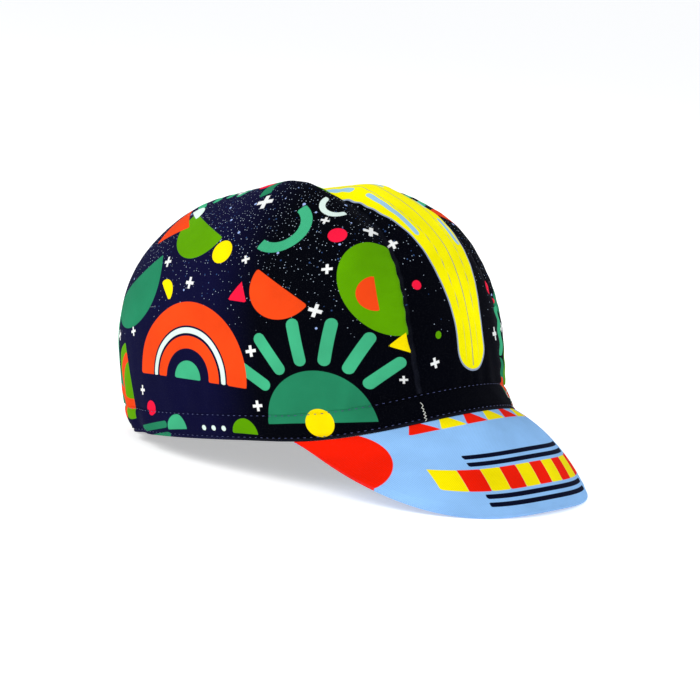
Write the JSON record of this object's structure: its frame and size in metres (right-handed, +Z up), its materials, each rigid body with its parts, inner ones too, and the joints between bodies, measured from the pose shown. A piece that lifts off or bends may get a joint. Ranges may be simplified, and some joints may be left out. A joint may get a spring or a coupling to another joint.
{
  "type": "cycling cap",
  "caption": "Close-fitting soft cloth cycling cap with a centre strip between two side panels, a gathered hem band and a short turned-down peak.",
  "frame": {"origin": "centre of the bounding box in plan, on the floor plane that the cap stands on", "axes": "+Z up, the peak points towards -Y, the wearer's right is -X; the cap is mirrored about X = 0"},
  "size_m": [0.1632, 0.2616, 0.1386],
  "materials": {
    "crown_panels": "printed cotton twill, navy ground, matte",
    "crown_strip": "printed cotton twill, yellow stripe on navy, matte",
    "hem_band": "turned and stitched cotton twill, matte",
    "peak": "printed cotton over a stiff board, light blue ground, matte"
  },
  "bodies": {
    "root": {"crown_panel_right": "crown_panels", "crown_panel_left": "crown_panels", "crown_strip": "crown_strip", "hem_band": "hem_band", "peak": "peak"}
  },
  "joints": []
}
